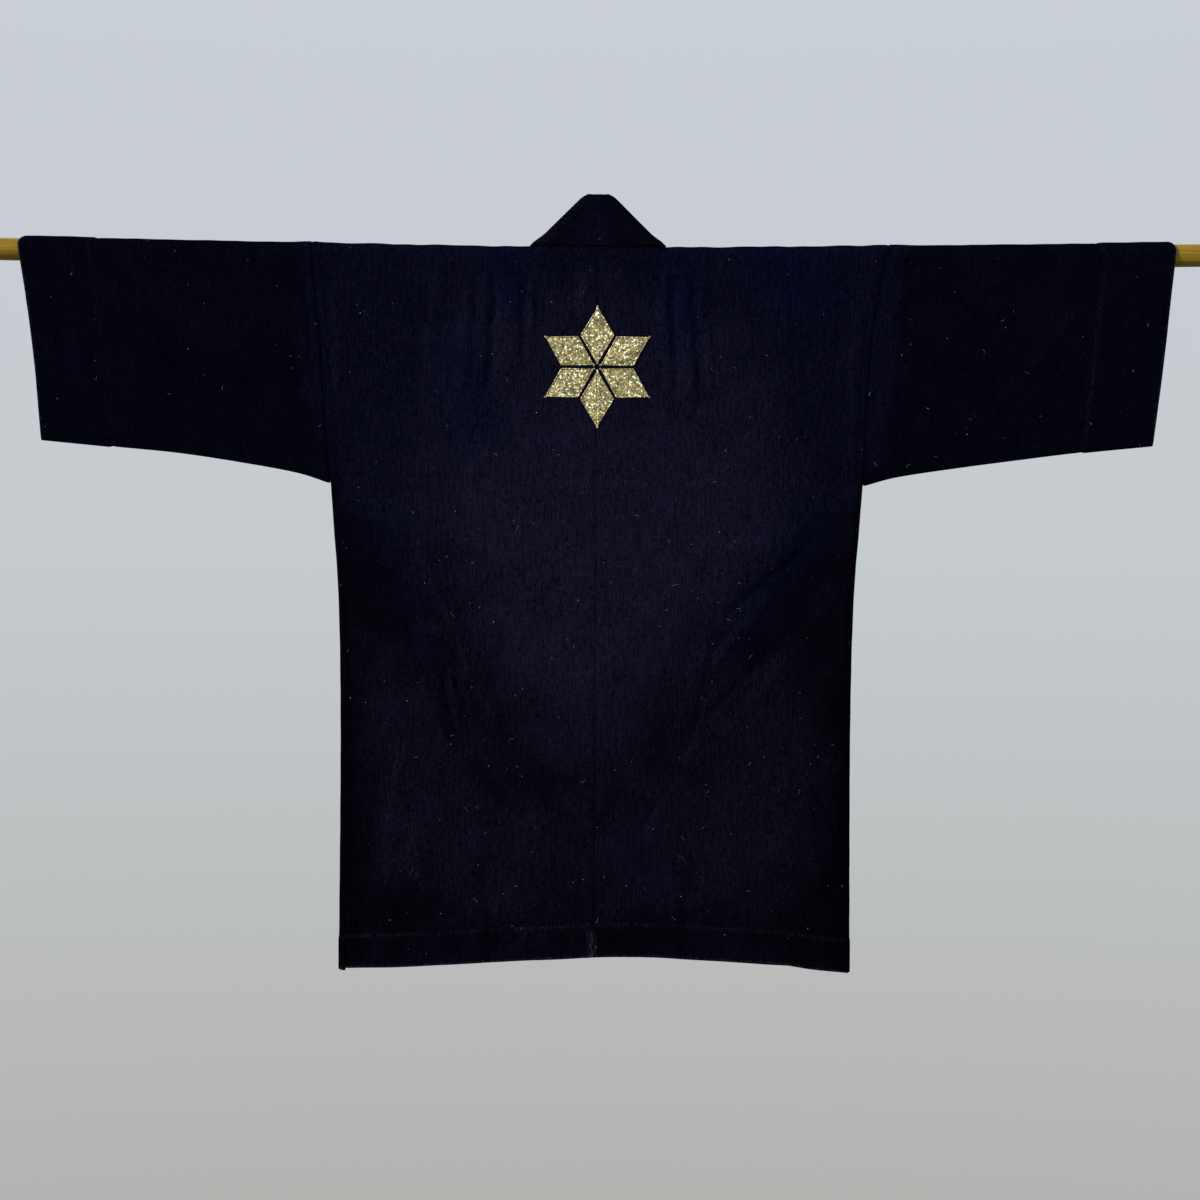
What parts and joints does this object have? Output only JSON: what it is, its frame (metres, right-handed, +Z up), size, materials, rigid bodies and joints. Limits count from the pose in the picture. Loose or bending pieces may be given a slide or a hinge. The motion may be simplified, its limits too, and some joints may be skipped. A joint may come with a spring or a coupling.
{
  "type": "hanten jacket on a rod",
  "caption": "Dark indigo cotton hanten jacket, hung flat on a rod through both sleeves, with its back to the viewer and gold applique leaves between the shoulders.",
  "frame": {"origin": "the rod's axis at mid-length, where whatever holds the rod up is taken to act", "axes": "+X along the rod towards the jacket's right sleeve, -Y out of the jacket's back, +Z up"},
  "size_m": [1.4304, 0.0491, 0.8937],
  "materials": {
    "indigo_cotton": "matt, near-black indigo plain weave with slubs and a faded middle",
    "gold_applique": "gold foil thread, couched, sparkling",
    "rod_wood": "tan, fine lengthwise grain, satin"
  },
  "bodies": {
    "root": {"rod": "rod_wood", "body_left": "indigo_cotton", "body_right": "indigo_cotton", "sleeve_left": "indigo_cotton", "sleeve_right": "indigo_cotton", "gusset_left": "indigo_cotton", "gusset_right": "indigo_cotton", "collar": "indigo_cotton", "ornament_leaf_1": "gold_applique", "ornament_leaf_2": "gold_applique", "ornament_leaf_3": "gold_applique", "ornament_leaf_4": "gold_applique", "ornament_leaf_5": "gold_applique", "ornament_leaf_6": "gold_applique"}
  },
  "joints": []
}
